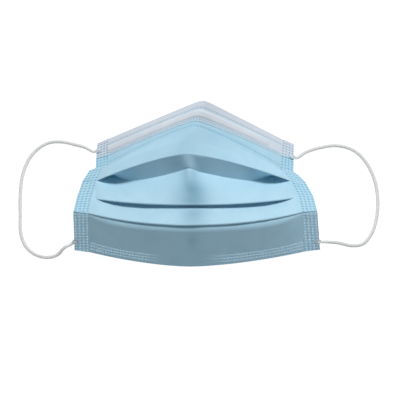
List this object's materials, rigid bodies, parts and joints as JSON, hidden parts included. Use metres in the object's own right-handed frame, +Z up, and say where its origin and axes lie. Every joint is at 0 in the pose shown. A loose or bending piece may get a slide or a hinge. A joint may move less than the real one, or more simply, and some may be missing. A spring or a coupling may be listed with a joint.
{
  "type": "surgical face mask",
  "caption": "Pleated nonwoven face mask with a bendable nose wire and elastic ear loops, lying dome up and partly unfolded.",
  "frame": {"origin": "on the surface that the mask lies on, under the middle of the mask without its ear loops", "axes": "+X across the face towards the viewer's right, +Y towards the nose edge, +Z up out of the dome"},
  "size_m": [0.253, 0.1056, 0.0538],
  "materials": {
    "outer_nonwoven": "light blue spunbond nonwoven, matte, embossed",
    "band_nonwoven": "white spunbond nonwoven, matte",
    "wire_plastic": "plastic-coated wire, satin",
    "loop_elastic": "knitted round elastic, matte",
    "weld_tab": "elastic pressed flat by ultrasonic welding, satin"
  },
  "bodies": {
    "root": {"pleated_body": "outer_nonwoven", "nose_band": "band_nonwoven", "nose_wire": "wire_plastic", "ear_loop_left": "loop_elastic", "ear_loop_right": "loop_elastic", "loop_tab_top_left": "weld_tab", "loop_tab_top_right": "weld_tab", "loop_tab_bottom_left": "weld_tab", "loop_tab_bottom_right": "weld_tab"}
  },
  "joints": []
}
